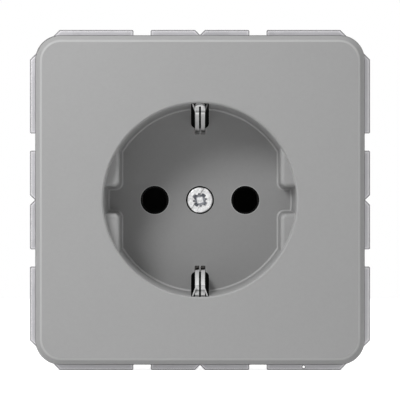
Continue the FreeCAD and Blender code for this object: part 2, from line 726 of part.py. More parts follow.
# Socket base: one black moulding. Its round cup holds the recess pot and seats on the ring,
# and its rear block has a chamber for each contact sleeve and each terminal, open to the rear.
def make_base():
    radius = BASE_RADIUS
    cup = rod("base_cup", radius, (WEB_BACK, d.cup_back))
    rear = common("base_rear", rod("base_rear_round", radius, (FLOOR_BACK, CHAMBER_BACK)),
                  block("base_rear_flats", (-BASE_HALF, BASE_HALF), (FLOOR_BACK, CHAMBER_BACK),
                        (-radius, radius)))
    ears = []
    for index, side in enumerate((-1, 1)):
        reach = RIVET_REACH * side
        ears.append(rod("base_ear_%d" % index, d.ear_dia / 2, (WEB_BACK, d.ear_back), reach, reach))
    blank = fuse("base_blank", cup, rear, *ears)
    pot_front = POT_RADIUS + d.cup_gap
    pot_back = FLOOR_RADIUS + d.pot_wall + d.cup_gap
    tools = [rod("base_bore", pot_front, (WEB_BACK - PAST, FLOOR_BACK), back_radius=pot_back)]
    free = d.seat_gap * 2
    half = d.strap_wide / 2 + free
    tools.append(block("bar_channel", (-half, half), (FLOOR_BACK - PAST, STRAP_BACK + d.seat_gap),
                       (-PRONG_ROOT - PAST, PRONG_ROOT + PAST)))
    screw_room = FLOOR + d.well_depth + d.cover_screw_long + d.button_gap
    tools.append(rod("collar_hole", d.collar_dia / 2 + d.cup_gap, (FLOOR_BACK, screw_room)))
    tools.append(rod("base_rivet_hole", d.earth_rivet_dia / 2 + d.seat_gap,
                     (FLOOR_BACK, d.chamber_front + PAST), z=d.earth_rivet_reach))
    rivet_half = d.earth_rivet_dia + free
    tools.append(block("rivet_chamber", (-rivet_half, rivet_half), (d.chamber_front, CHAMBER_BACK + PAST),
                       (d.earth_rivet_reach - rivet_half, CHAMBER_IN + PAST)))
    for side_name, side in (("left", -1), ("right", 1)):
        tools.append(rod("base_pin_" + side_name, d.guide_hole / 2,
                         (FLOOR_BACK - PAST, d.sleeve_front + PAST), PIN_SIDE * side))
        tools.append(block("sleeve_chamber_" + side_name,
                           mirrored(PIN_SIDE - d.sleeve_half, CHAMBER_IN + PAST, side),
                           (d.sleeve_front, CHAMBER_BACK + PAST), (-d.sleeve_half, d.sleeve_half)))
    for unit, turn in unit_turns():
        room = block("terminal_room_" + unit, (CHAMBER_IN, CHAMBER_OUT),
                     (d.chamber_front, CHAMBER_BACK + PAST), (-d.chamber_half, d.chamber_half))
        tools.append(turned("terminal_chamber_" + unit, room, turn))
    for index, side in enumerate((-1, 1)):
        reach = RIVET_REACH * side
        tools.append(rod("ear_hole_%d" % index, d.rivet_dia / 2 + d.seat_gap,
                         (WEB_BACK - PAST, d.ear_back + PAST), reach, reach))
        tools.append(claw_ramp(side))
    for index, turn in enumerate(SNAP_TURNS):
        tools.append(snap("snap_room_%d" % index, turn, d.snap_gap))
    return finished("socket_base", cut("base", blank, *tools))


def snap(name, turn, free=0):
    """One snap arm of the terminal cover, or with a gap all round it, its room in the base."""
    outer = BASE_RADIUS - d.snap_gap * 2 + free * 3
    inner = BASE_RADIUS - d.snap_gap * 2 - d.snap_thick - free
    front = CHAMBER_BACK - d.snap_long - free
    half = d.snap_wide / 2 + free
    arm = block(name + "_arm", (inner, outer), (front, CHAMBER_BACK + PAST), (-half, half))
    catch = block(name + "_catch", (inner - d.snap_catch, outer), (front, front + d.snap_thick + free * 2),
                  (-half, half))
    return turned(name, fuse(name + "_whole", arm, catch), turn)


def claw_ramp(side):
    """What is cut from the base's side so that a claw can ride up a ramp as it is drawn in."""
    radius = BASE_RADIUS
    free = d.seat_gap * 4
    start = CLAW_INNER - free
    profile = [
        ((radius + PAST) * side, d.claw_front - d.claw_ramp),
        (start * side, d.claw_front - free),
        (start * side, d.cup_back + PAST),
        ((radius + PAST) * side, d.cup_back + PAST),
    ]
    return strip("claw_ramp_%d" % (side + 1), "XY_Plane", profile, d.claw_half * 2 + d.cup_gap * 2)


# Terminal cover: the rear lid of the base, with two wire holes and one button window for each pole
def make_terminal_cover():
    radius = BASE_RADIUS
    y = (CHAMBER_BACK, d.base_deep)
    lid = common("lid_blank", rod("lid_round", radius, y),
                 block("lid_flats", (-BASE_HALF, BASE_HALF), y, (-radius, radius)))
    tools = []
    through = (CHAMBER_BACK - PAST, d.base_deep + PAST)
    inner = CHAMBER_IN + d.button_gap * 2
    for unit, turn in unit_turns():
        holes = []
        for index, side in enumerate((-1, 1)):
            place = d.wire_side * side
            holes.append(rod("wire_%s_%d" % (unit, index), d.wire_hole / 2, through, WIRE_REACH, place))
        window = (inner - d.button_gap, inner + d.button_thick + d.button_gap)
        half = d.button_half + d.button_gap
        holes.append(block("window_" + unit, window, through, (-half, half)))
        tools.append(turned("holes_" + unit, fuse("hole_group_" + unit, *holes), turn))
    arms = [snap("snap_%d" % index, turn) for index, turn in enumerate(SNAP_TURNS)]
    return finished("terminal_cover", fuse("lid_with_arms", cut("lid", lid, *tools), *arms))


def bus_corners():
    """Plan of a terminal's bus strip: across the chamber front, then back along its outer wall."""
    outer = CHAMBER_OUT - d.seat_gap * 2
    front = d.chamber_front + d.seat_gap
    return outer, front, CONTACT_BACK


# Contacts: each is one stamping of bronze strip, with two bowed leaves round the pin, a bridge
# at the rear and a bus strip that the wires are pressed against.
def make_contact(name, turn):
    outer, front, back = bus_corners()
    sheet = d.contact_sheet
    axis = PIN_SIDE
    mouth = d.sleeve_front + d.seat_gap * 4
    waist = mouth + d.contact_lead
    leaves = []
    for side_name, side in (("in", -1), ("out", 1)):
        bowed = [(d.contact_mouth, mouth), (d.contact_waist, waist), (d.contact_mouth, CONTACT_BACK)]
        outside = [(axis + reach * side, y) for reach, y in bowed]
        inside = [(axis + (reach - sheet) * side, y) for reach, y in reversed(bowed)]
        leaves.append(strip("leaf_%s_%s" % (name, side_name), "XY_Plane", outside + inside,
                            d.contact_half * 2))
    cheek = block("cheek_" + name, (axis - d.contact_mouth, axis + d.contact_mouth),
                  (CONTACT_BACK - d.contact_cheek, CONTACT_BACK), (d.contact_half, d.contact_half + sheet))
    bridge = block("bus_bridge_" + name, (axis + d.contact_waist - sheet / 2, outer),
                   (front + sheet, front + sheet * 2), (-d.contact_half, d.contact_half))
    bus = block("bus_" + name, (outer - sheet, outer), (front + sheet, back),
                (-d.chamber_half + d.button_gap, d.chamber_half - d.button_gap))
    blank = fuse("contact_blank_" + name, *leaves, cheek, bridge, bus)
    return finished("contact_" + name, turned("contact_%s_turned" % name, blank, turn))


# Earth terminal: an angled strip, riveted through the base to the earth bracket
def make_earth_terminal():
    outer, front, back = bus_corners()
    sheet = d.contact_sheet
    rivet_half = d.earth_rivet_dia
    foot = block("earth_foot", (d.earth_rivet_reach - rivet_half, outer), (front, front + sheet),
                 (-rivet_half, rivet_half))
    bus = block("earth_bus", (outer - sheet, outer), (front, back),
                (-d.chamber_half + d.button_gap, d.chamber_half - d.button_gap))
    hole = rod("earth_foot_hole", d.earth_rivet_dia / 2, (front - PAST, front + sheet + PAST),
               d.earth_rivet_reach)
    blank = cut("earth_angle", fuse("earth_blank", foot, bus), hole)
    return finished("earth_terminal", turned("earth_terminal_turned", blank, -90))


# Clamp springs: each a bent strip of stainless steel, held between the chamber's inner wall and
# the loop, with a free leg that presses the wire against the bus strip.
def make_spring(unit, turn, index, side):
    sheet = d.spring_sheet
    inner = CHAMBER_IN + d.seat_gap * 4
    bend = d.spring_sheet * 2
    loop_y = CHAMBER_BACK - d.button_thick - d.button_travel - bend * 2 - d.button_gap * 2
    root = d.chamber_front + d.contact_sheet * 3
    tip_x = CHAMBER_OUT - d.contact_sheet - d.spring_sheet
    tip_y = loop_y - d.spring_leg
    knee = bend * (1 - 1 / ROOT2)
    middle_x = inner + bend
    leg_x = inner + bend * 2
    profile = [
        (inner, root),
        (inner, loop_y),
        (inner + knee, loop_y + bend - knee),
        (middle_x, loop_y + bend),
        (leg_x - knee, loop_y + bend - knee),
        (leg_x, loop_y),
        (tip_x, tip_y),
        (tip_x - sheet, tip_y - sheet / 2),
        (leg_x - sheet, loop_y - sheet),
        (middle_x, loop_y + bend - sheet),
        (inner + sheet, loop_y - sheet),
        (inner + sheet, root),
    ]
    name = "clamp_spring_%s_%d" % (unit, index)
    body = strip(name + "_strip", "XY_Plane", profile, d.spring_half * 2)
    bind(body, "Placement.Base.z", d.wire_side * side)
    return finished(name, turned(name + "_turned", body, turn))


# Release buttons: each slides in its window of the terminal cover. Its cross bar has a nose at
# each end, beside the wire, which pushes the two springs of that terminal open.
def make_button(unit, turn):
    inner = CHAMBER_IN + d.button_gap * 2
    outer = inner + d.button_thick
    half = d.button_half
    bar_back = CHAMBER_BACK - d.button_gap
    bar_front = bar_back - d.button_thick
    end = d.chamber_half - d.button_gap * 4
    cap = block("cap_" + unit, (inner, outer), (bar_front, d.base_deep + d.button_proud), (-half, half))
    bar = block("bar_" + unit, (inner, outer), (bar_front, bar_back), (-end, end))
    noses = []
    nose_front = bar_front - d.button_nose
    near = d.wire_side + d.wire_hole / 2 + d.button_gap
    for index, side in enumerate((-1, 1)):
        noses.append(block("nose_%s_%d" % (unit, index),
                           (outer - d.button_thick / 2, outer + d.button_thick), (nose_front, bar_back),
                           mirrored(near, end, side)))
    whole = turned("button_%s_turned" % unit, fuse("button_" + unit, cap, bar, *noses), turn)
    return finished("release_button_" + unit, whole)


# Claws: each is a bent steel sheet with teeth, threaded on its own screw. As the screw draws it
# forward it rides up the base's ramp, and the claw and its screw tilt outward together.
def make_claw(name, side):
    sheet = d.claw_sheet
    teeth = CLAW_OUTER + d.claw_tooth / 2
    profile = [
        (CLAW_INNER * side, d.claw_front),
        (CLAW_OUTER * side, d.claw_front),
        (CLAW_OUTER * side, d.claw_back - d.claw_tooth * 4),
        (teeth * side, d.claw_back - d.claw_tooth * 4),
        (CLAW_OUTER * side, d.claw_back - d.claw_tooth * 2),
        (teeth * side, d.claw_back - d.claw_tooth * 2),
        (teeth * side, d.claw_back),
        ((CLAW_OUTER - sheet) * side, d.claw_back),
        ((CLAW_OUTER - sheet) * side, d.claw_front + sheet),
        (CLAW_INNER * side, d.claw_front + sheet),
    ]
    body = strip("claw_blank_" + name, "XY_Plane", profile, d.claw_half * 2)
    hole = rod("claw_thread_" + name, d.screw_thread / 2 + d.seat_gap,
               (d.claw_front - PAST, d.claw_front + sheet + PAST), CLAW_AXIS * side)
    x = mirrored(CLAW_OUTER - sheet - PAST, CLAW_OUTER + PAST, side)
    y = (d.claw_front + sheet * 2, d.claw_front + sheet * 4)
    notches = []
    for index, edge in enumerate((-1, 1)):
        notches.append(block("claw_notch_%s_%d" % (name, index), x, y,
                             mirrored(d.claw_half - sheet, d.claw_half + PAST, edge)))
    return finished("claw_" + name, cut("claw_cut_" + name, body, hole, *notches))


def make_claw_screw(name, side):
    axis = CLAW_AXIS * side
    radius = d.claw_head_dia / 2
    seat = WEB_FRONT
    head_back = seat - radius * slope(d.head_tilt)
    head_front = head_back - d.claw_head_high
    under = rod("claw_slope_" + name, radius, (head_back, seat), axis, back_radius=d.screw_thread / 4)
    head = rod("claw_head_" + name, radius, (head_front, head_back), axis)
    shank = rod("claw_shank_" + name, d.screw_thread / 2, (head_back, seat + d.claw_screw_long), axis)
    blank = fuse("claw_screw_blank_" + name, head, under, shank)
    drive = drive_cross("claw_drive_" + name, head_front, axis)
    return finished("claw_screw_" + name, cut("claw_screw_cut_" + name, blank, drive))


# Rivets: two fix the base's ears to the ring, one joins the earth terminal to the bracket
def make_ring_rivets():
    edge = d.rivet_head / 2
    top = edge - d.rivet_dome / 2
    front_end = WEB_FRONT - d.rivet_dome
    rear_end = d.ear_back + d.rivet_dome
    pieces = []
    for index, side in enumerate((-1, 1)):
        reach = RIVET_REACH * side
        shank = rod("rivet_shank_%d" % index, d.rivet_dia / 2, (front_end, rear_end), reach, reach)
        front = rod("rivet_front_%d" % index, top, (front_end, WEB_FRONT), reach, reach, back_radius=edge)
        rear = rod("rivet_rear_%d" % index, edge, (d.ear_back, rear_end), reach, reach, back_radius=top)
        pieces.append(fuse("ring_rivet_%d" % index, shank, front, rear))
    group = doc.addObject("Part::Compound", "ring_rivet_pair")
    group.Links = pieces
    return finished("ring_rivets", group)


def make_earth_rivet():
    _, front, _ = bus_corners()
    foot_back = front + d.contact_sheet
    rear_end = foot_back + d.rivet_dome
    edge = d.earth_rivet_head / 2
    shank = rod("earth_shank", d.earth_rivet_dia / 2, (STRAP_FRONT, rear_end), z=d.earth_rivet_reach)
    head = rod("earth_head", edge, (foot_back, rear_end), z=d.earth_rivet_reach,
               back_radius=edge - d.rivet_dome / 2)
    return finished("earth_rivet", fuse("earth_rivet_body", shank, head))


pieces = [make_ring(), make_cover(), make_cover_screw(), make_bracket(), make_base(), make_terminal_cover()]
for contact_name, contact_turn in unit_turns()[:2]:
    pieces.append(make_contact(contact_name, contact_turn))
pieces.append(make_earth_terminal())
for unit_name, unit_turn in unit_turns():
    pieces.append(make_button(unit_name, unit_turn))
    for spring_index, spring_side in ((1, -1), (2, 1)):
        pieces.append(make_spring(unit_name, unit_turn, spring_index, spring_side))
for claw_name, claw_side in (("left", -1), ("right", 1)):
    pieces.append(make_claw(claw_name, claw_side))
    pieces.append(make_claw_screw(claw_name, claw_side))
pieces.append(make_ring_rivets())
pieces.append(make_earth_rivet())

doc.recompute()
for thing in doc.Objects:
    if "Invalid" in thing.State or "Error" in thing.State:
        raise RuntimeError("%s did not build: %s" % (thing.Name, thing.State))
for piece_name, piece in pieces:
    if piece.Shape.isNull() or not piece.Shape.isValid() or not piece.Shape.Solids:
        raise RuntimeError("%s has no sound shape" % piece_name)

os.makedirs("parts", exist_ok=True)
for piece_name, piece in pieces:
    piece.Shape.exportStep(os.path.join("parts", piece_name + ".step"))
    box = piece.Shape.BoundBox
    print("%-24s solids %d volume %9.2f  x %.2f..%.2f y %.2f..%.2f z %.2f..%.2f" % (
        piece_name, len(piece.Shape.Solids), piece.Shape.Volume,
        box.XMin, box.XMax, box.YMin, box.YMax, box.ZMin, box.ZMax))
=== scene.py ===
"""A flush-mounting wall socket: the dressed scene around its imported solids, in metres."""

import math

import bmesh
import bpy
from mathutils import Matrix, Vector


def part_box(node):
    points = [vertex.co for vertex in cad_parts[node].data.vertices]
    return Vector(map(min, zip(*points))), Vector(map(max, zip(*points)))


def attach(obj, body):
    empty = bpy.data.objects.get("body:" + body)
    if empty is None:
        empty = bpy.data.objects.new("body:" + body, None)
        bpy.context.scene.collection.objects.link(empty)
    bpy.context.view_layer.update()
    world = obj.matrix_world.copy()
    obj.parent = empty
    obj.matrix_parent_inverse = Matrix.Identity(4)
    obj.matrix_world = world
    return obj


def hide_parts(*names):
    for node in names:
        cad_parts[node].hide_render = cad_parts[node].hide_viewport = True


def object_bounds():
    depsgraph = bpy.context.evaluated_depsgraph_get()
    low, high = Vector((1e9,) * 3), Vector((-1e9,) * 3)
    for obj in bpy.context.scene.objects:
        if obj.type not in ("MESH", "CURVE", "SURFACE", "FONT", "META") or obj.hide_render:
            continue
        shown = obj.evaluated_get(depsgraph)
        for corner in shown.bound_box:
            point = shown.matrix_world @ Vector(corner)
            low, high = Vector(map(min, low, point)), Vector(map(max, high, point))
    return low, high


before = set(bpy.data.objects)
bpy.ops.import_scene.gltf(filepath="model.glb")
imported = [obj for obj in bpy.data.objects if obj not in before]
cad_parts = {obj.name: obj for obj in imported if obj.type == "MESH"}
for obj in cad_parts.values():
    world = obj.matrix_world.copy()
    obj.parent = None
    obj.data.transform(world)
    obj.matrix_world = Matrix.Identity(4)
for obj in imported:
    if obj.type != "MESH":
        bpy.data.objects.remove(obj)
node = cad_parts
solid_box = [list(corner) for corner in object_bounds()]


# Support ring: a square of hot-dip galvanised sheet, stamped in one blow with its tabs, notches
# and holes. The zinc lies on it as faint flowers, and its rounded edges are painted with a dark
# shade at the rim and a pale highlight line inside it.
def feed(tree, made, inputs):
    """Sets a node's inputs to values, or joins them to the outputs of other nodes."""
    for socket, value in inputs.items():
        if isinstance(value, bpy.types.NodeSocket):
            tree.links.new(value, made.inputs[socket])
        else:
            made.inputs[socket].default_value = value
    return made


def put(tree, kind, inputs=None, **settings):
    """A node with its settings made and its inputs fed."""
    made = tree.nodes.new("ShaderNode" + kind)
    for setting, value in settings.items():
        setattr(made, setting, value)
    return feed(tree, made, inputs or {})


def reckon(tree, operation, first, second=0.0, clamp=False):
    """One step of arithmetic on values or sockets."""
    return put(tree, "Math", {0: first, 1: second}, operation=operation, use_clamp=clamp).outputs[0]


def reckon_places(tree, operation, first, second=(0, 0, 0), gives="Vector"):
    """One step of arithmetic on places or directions."""
    return put(tree, "VectorMath", {0: first, 1: second}, operation=operation).outputs[gives]


def spot_on(tree):
    """The place on the piece, in the frame's metres."""
    return put(tree, "TexCoord").outputs["Object"]


def noise(tree, scale, detail, roughness=0.5, place=None):
    """Noise over the piece, or over another place where one is given."""
    inputs = {"Vector": place or spot_on(tree), "Scale": scale, "Detail": detail,
              "Roughness": roughness}
    return put(tree, "TexNoise", inputs).outputs["Fac"]


def spread(tree, value, low, high, to_low=0.0, to_high=1.0):
    """A value between two limits, spread evenly between two others."""
    return put(tree, "MapRange", {"Value": value, "From Min": low, "From Max": high,
                                  "To Min": to_low, "To Max": to_high}).outputs[0]


def tint(tree, colour, mask, other):
    """The colour, changed to another where the mask is."""
    return put(tree, "MixRGB", {"Fac": mask, "Color1": colour, "Color2": other}).outputs[0]


def shaded(tree, colour, shade):
    """The colour, made darker or lighter by a shade that lies round 1."""
    return put(tree, "MixRGB", {"Fac": 1.0, "Color1": colour, "Color2": shade},
               blend_type="MULTIPLY").outputs[0]


def shader_group(name, takes, gives):
    """An empty shader node group, its inputs with their usual values, and its two end nodes."""
    tree = bpy.data.node_groups.new(name, "ShaderNodeTree")
    for socket, kind, usual in takes:
        kind = "NodeSocket" + kind
        entry = tree.interface.new_socket(name=socket, in_out="INPUT", socket_type=kind)
        entry.default_value = usual
    for socket, kind in gives:
        kind = "NodeSocket" + kind
        tree.interface.new_socket(name=socket, in_out="OUTPUT", socket_type=kind)
    return tree, tree.nodes.new("NodeGroupInput"), tree.nodes.new("NodeGroupOutput")


def worn_edge_group():
    """A mask of the sharp edges, broken up by noise so it isn't a drawn line; it carries wear and
    painted highlights and shade.
    """
    tree, takes, gives = shader_group(
        "edge wear and painted light",
        [("Width", "Float", 0.0003), ("Gain", "Float", 9.0), ("Break Up", "Float", 900.0),
         ("Patchy", "Float", 0.5)],
        [("Mask", "Float")])
    rounded = put(tree, "Bevel", {"Radius": takes.outputs["Width"]}, samples=6).outputs[0]
    flat = put(tree, "NewGeometry").outputs["Normal"]
    alike = reckon_places(tree, "DOT_PRODUCT", rounded, flat, gives="Value")
    bent = reckon(tree, "MULTIPLY", reckon(tree, "SUBTRACT", 1.0, alike), takes.outputs["Gain"])
    gaps = reckon(tree, "SUBTRACT", 1.0, noise(tree, takes.outputs["Break Up"], 3.0))
    kept = reckon(tree, "SUBTRACT", 1.0, reckon(tree, "MULTIPLY", takes.outputs["Patchy"], gaps))
    feed(tree, gives, {"Mask": reckon(tree, "MULTIPLY", bent, kept, clamp=True)})
    return tree


def zinc_film_group():
    """Zinc on sheet: flat flowers of slightly different brightness under a fine pitting."""
    tree, takes, gives = shader_group(
        "zinc film",
        [("Colour", "Color", (0.5, 0.5, 0.5, 1)), ("Flowers", "Float", 260.0),
         ("Contrast", "Float", 0.08)],
        [("Colour", "Color"), ("Roughness", "Float"), ("Height", "Float")])
    place = spot_on(tree)
    push = put(tree, "TexNoise", {"Vector": place, "Scale": 320.0, "Detail": 2.0}).outputs["Color"]
    pushed = put(tree, "MixRGB", {"Fac": 0.003, "Color1": place, "Color2": push}, blend_type="ADD")
    flowers = put(tree, "TexVoronoi", {"Vector": pushed.outputs[0],
                                       "Scale": takes.outputs["Flowers"]})
    bright = put(tree, "RGBToBW", {"Color": flowers.outputs["Color"]}).outputs[0]
    mixed = reckon(tree, "ADD", reckon(tree, "MULTIPLY", bright, 0.6),
                   reckon(tree, "MULTIPLY", noise(tree, 55.0, 5.0), 0.8))
    change = reckon(tree, "SUBTRACT", mixed, 0.7)
    swing = reckon(tree, "MULTIPLY", change, takes.outputs["Contrast"])
    colour = shaded(tree, takes.outputs["Colour"], reckon(tree, "ADD", 1.0, swing))
    rough = reckon(tree, "ADD", 0.30, reckon(tree, "MULTIPLY", mixed, 0.16))
    feed(tree, gives, {"Colour": colour, "Roughness": rough, "Height": noise(tree, 2600.0, 4.0)})
    return tree


wear_and_light_edges = worn_edge_group()
zinc_film = zinc_film_group()


def effect(tree, group, **inputs):
    """A shared effect placed in a material with that material's own values."""
    made = tree.nodes.new("ShaderNodeGroup")
    made.node_tree = group
    return feed(tree, made, {socket.replace("_", " "): value for socket, value in inputs.items()})


def material(name, metallic=0.0, roughness=0.5, shine=0.5):
    """A material with its one shader; returns the material, its node tree and the shader."""
    made = bpy.data.materials.new(name)
    made.use_nodes = True
    tree = made.node_tree
    shader = tree.nodes["Principled BSDF"]
    feed(tree, shader, {"Metallic": metallic, "Roughness": roughness, "Specular IOR Level": shine})
    return made, tree, shader


def relief(tree, shader, height, depth):
    """Turns a height over the surface into a bump of that depth on the shader."""
    bump = put(tree, "Bump", {"Height": height, "Distance": depth, "Strength": 1.0})
    feed(tree, shader, {"Normal": bump.outputs[0]})


def zinc_sheet(name, colour, edge, flowers, contrast, metallic=0.85, inner_highlight=None):
    """Galvanised steel with a given colour painted along its edges, and a painted highlight line
    inside them where one is given.
    """
    made, tree, shader = material(name, metallic=metallic)
    film = effect(tree, zinc_film, Colour=colour, Flowers=flowers, Contrast=contrast)
    painted = film.outputs["Colour"]
    if inner_highlight:
        # A pale painted highlight along the rounded edge, just inside it.
        inner_highlight_mask = effect(tree, wear_and_light_edges, Width=0.001, Gain=30.0, Patchy=0.2).outputs["Mask"]
        painted = tint(tree, painted, inner_highlight_mask, inner_highlight)
    # The colour along the edges; on the support ring it is a dark painted shade of the rounded
    # edge.
    edge_tone_mask = effect(tree, wear_and_light_edges, Width=0.0004, Gain=60.0, Patchy=0.1).outputs["Mask"]
    painted = tint(tree, painted, edge_tone_mask, edge)
    feed(tree, shader, {"Base Color": painted, "Roughness": film.outputs["Roughness"]})
    relief(tree, shader, film.outputs["Height"], 0.000004)
    return made


def dress(node_name, finish):
    """Gives a carried-over solid its finish."""
    for slot in node[node_name].material_slots:
        slot.material = finish


dress("support_ring", zinc_sheet(
    "galvanised sheet", colour=(0.48, 0.475, 0.495, 1), edge=(0.12, 0.12, 0.125, 1),
    flowers=240.0, contrast=0.16, metallic=0.8, inner_highlight=(0.74, 0.73, 0.75, 1)))


# Ring rivets: two soft steel rivets that hold the base's ears to the ring, headed over by a
# tumbling press and plated with the ring, so each head is a smooth low dome with a fine rim.
dress("ring_rivets", zinc_sheet(
    "plated rivet steel", colour=(0.60, 0.60, 0.62, 1), edge=(0.78, 0.78, 0.80, 1),
    flowers=900.0, contrast=0.10))


# Socket base: moulded of a black, heat-proof resin. The mould leaves a fine eggshell skin, the
# edges are polished a little by handling, and the chambers inside are painted near black as shade.
def moulded_skin_group():
    """The skin of a moulding: fine grain over slow, wide changes of shade."""
    tree, takes, gives = shader_group(
        "moulded skin",
        [("Colour", "Color", (0.1, 0.1, 0.1, 1)), ("Grain", "Float", 2200.0),
         ("Contrast", "Float", 0.05)],
        [("Colour", "Color"), ("Height", "Float"), ("Polish", "Float")])
    grain = noise(tree, takes.outputs["Grain"], 5.0, roughness=0.6)
    slow = noise(tree, 38.0, 3.0)
    mixed = reckon(tree, "ADD", reckon(tree, "MULTIPLY", grain, 0.6),
                   reckon(tree, "MULTIPLY", slow, 0.4))
    change = reckon(tree, "SUBTRACT", mixed, 0.5)
    swing = reckon(tree, "MULTIPLY", change, takes.outputs["Contrast"])
    colour = shaded(tree, takes.outputs["Colour"], reckon(tree, "ADD", 1.0, swing))
    feed(tree, gives, {"Colour": colour, "Height": grain, "Polish": slow})
    return tree


moulded_skin = moulded_skin_group()


def moulding(name, colour, edge, grain, depth, polished, dull, contrast, shine):
    """A moulded plastic: its colour, its worn edge, its grain's fineness and depth, its gloss."""
    made, tree, shader = material(name, shine=shine)
    skin = effect(tree, moulded_skin, Colour=colour, Grain=grain, Contrast=contrast)
    edge_wear_and_highlight = effect(tree, wear_and_light_edges, Width=0.0002, Gain=6.0, Break_Up=1400.0, Patchy=0.6)
    painted = tint(tree, skin.outputs["Colour"], edge_wear_and_highlight.outputs["Mask"], edge)
    rough = spread(tree, skin.outputs["Polish"], 0.3, 0.7, polished, dull)
    feed(tree, shader, {"Base Color": painted, "Roughness": rough})
    relief(tree, shader, skin.outputs["Height"], depth)
    return made


def axes(tree):
    """The place on the piece as three values: to the right, back into the wall, and up."""
    parts = put(tree, "SeparateXYZ", {0: spot_on(tree)}).outputs
    return parts["X"], parts["Y"], parts["Z"]


def above(tree, value, limit):
    """A mask of where a value is over a limit."""
    return reckon(tree, "GREATER_THAN", value, limit)


def below(tree, value, limit):
    """A mask of where a value is under a limit."""
    return reckon(tree, "LESS_THAN", value, limit)


def both(tree, *masks):
    """A mask of where all of several masks are."""
    met = masks[0]
    for mask in masks[1:]:
        met = reckon(tree, "MULTIPLY", met, mask)
    return met


def repaint(finish, mask, colour):
    """Changes the colour of a finished material where the mask is."""
    tree = finish.node_tree
    shader = tree.nodes["Principled BSDF"]
    painted = shader.inputs["Base Color"].links[0].from_socket
    feed(tree, shader, {"Base Color": tint(tree, painted, mask, colour)})


chamber_reach = 0.01995
chamber_shade_black = (0.0015, 0.0015, 0.0015, 1)


def paint_chamber_shade(finish, to_depth):
    """Paints the resin inside the chambers near black, as shade, down to a given depth."""
    tree = finish.node_tree
    flat = reckon_places(tree, "MULTIPLY", spot_on(tree), (1, 0, 1))
    out = reckon_places(tree, "LENGTH", flat, gives="Value")
    depth = axes(tree)[1]
    chamber_shade = both(tree, below(tree, out, chamber_reach), below(tree, depth, to_depth))
    # Painted shade: near black inside the chambers.
    repaint(finish, chamber_shade, chamber_shade_black)


base_black = moulding(
    "black resin", colour=(0.016, 0.016, 0.017, 1), edge=(0.05, 0.05, 0.052, 1), grain=1800.0,
    depth=0.000006, polished=0.45, dull=0.6, contrast=0.3, shine=0.12)
paint_chamber_shade(base_black, to_depth=0.04)
dress("socket_base", base_black)


# Terminal cover: the rear lid, moulded of the same black resin and snapped to the base. A finer
# mould leaves it a shade lighter. Its back has a dark ring painted round each wire hole as the
# shade of a funnel, an earth sign and a gauge of how long the wire is stripped.
lid_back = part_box("terminal_cover")[1][1] - 0.00005
hole_near = 0.005
hole_far = 0.0169
funnel_narrow = 0.0016
funnel_wide = 0.0023
line_half = 0.0002
sign_up = 0.0105
sign_reach = 0.0024
gauge_up = -0.0115
gauge_reach = 0.0055
tick_high = 0.0011


def either(tree, *masks):
    """A mask of where any of several masks is."""
    found = masks[0]
    for mask in masks[1:]:
        found = reckon(tree, "MAXIMUM", found, mask)
    return found


def lid_marks(finish):
    """Marks the lid's back; both halves are alike, so x is measured outward to either side."""
    tree = finish.node_tree
    x, depth, z = axes(tree)
    x = reckon(tree, "ABSOLUTE", x)
    back = above(tree, depth, lid_back)

    def away(height, side, up):
        """The distance from a point on the lid."""
        spot = put(tree, "CombineXYZ", {"X": x, "Z": height}).outputs[0]
        return reckon_places(tree, "DISTANCE", spot, (side, 0, up), gives="Value")

    def bar(side, up, half_wide, half_high):
        """A mask of one straight stroke."""
        over = reckon(tree, "ABSOLUTE", reckon(tree, "SUBTRACT", x, side))
        high = reckon(tree, "ABSOLUTE", reckon(tree, "SUBTRACT", z, up))
        return both(tree, below(tree, over, half_wide), below(tree, high, half_high))

    line_holes = away(reckon(tree, "ABSOLUTE", z), hole_far, hole_near)
    earth_holes = away(z, hole_near, hole_far)
    nearest = reckon(tree, "MINIMUM", line_holes, earth_holes)
    funnel_shade = spread(tree, nearest, funnel_narrow, funnel_wide, 1.0, 0.0)

    off_circle = reckon(tree, "SUBTRACT", away(z, 0.0, sign_up), sign_reach)
    circle = below(tree, reckon(tree, "ABSOLUTE", off_circle), line_half)
    stem = bar(0.0, sign_up + 0.0007, 0.00018, 0.0011)
    strokes = [bar(0.0, sign_up - down, half_wide, 0.00016)
               for down, half_wide in ((0.0004, 0.0015), (0.0010, 0.0010), (0.0016, 0.0005))]
    sign = either(tree, circle, stem, *strokes)
    gauge = either(tree, bar(0.0, gauge_up, gauge_reach, line_half),
                   bar(gauge_reach, gauge_up, line_half, tick_high))
    repaint(finish, both(tree, either(tree, sign, gauge), back), (0.11, 0.11, 0.112, 1))
    # A dark ring painted round each wire hole: painted shade standing for a funnel.
    repaint(finish, both(tree, funnel_shade, back), (0.008, 0.008, 0.008, 1))


lid_black = moulding(
    "black lid resin", colour=(0.026, 0.026, 0.028, 1), edge=(0.06, 0.06, 0.062, 1), grain=2600.0,
    depth=0.000004, polished=0.42, dull=0.6, contrast=0.3, shine=0.12)
lid_marks(lid_black)
paint_chamber_shade(lid_black, to_depth=0.0315)
dress("terminal_cover", lid_black)


# Contacts and earth terminal: stamped of tinned bronze strip and folded into sleeves for the
# plug's pins. Their tin is painted a dark grey as shade, so the pin holes stay black; the drag
# marks of the press run along it.
def drawn_lines_group():
    """Fine drag lines along one axis, as a press or a turning tool leaves, and dull patches."""
    tree, takes, gives = shader_group(
        "drawn lines", [("Stretch", "Vector", (1.0, 1.0, 1.0)), ("Scale", "Float", 2500.0)],
        [("Height", "Float"), ("Patches", "Float")])
    pulled = reckon_places(tree, "MULTIPLY", spot_on(tree), takes.outputs["Stretch"])
    lines = noise(tree, takes.outputs["Scale"], 3.0, place=pulled)
    feed(tree, gives, {"Height": lines, "Patches": noise(tree, 150.0, 4.0)})
    return tree


drawn_lines = drawn_lines_group()
line_depth = 0.000002


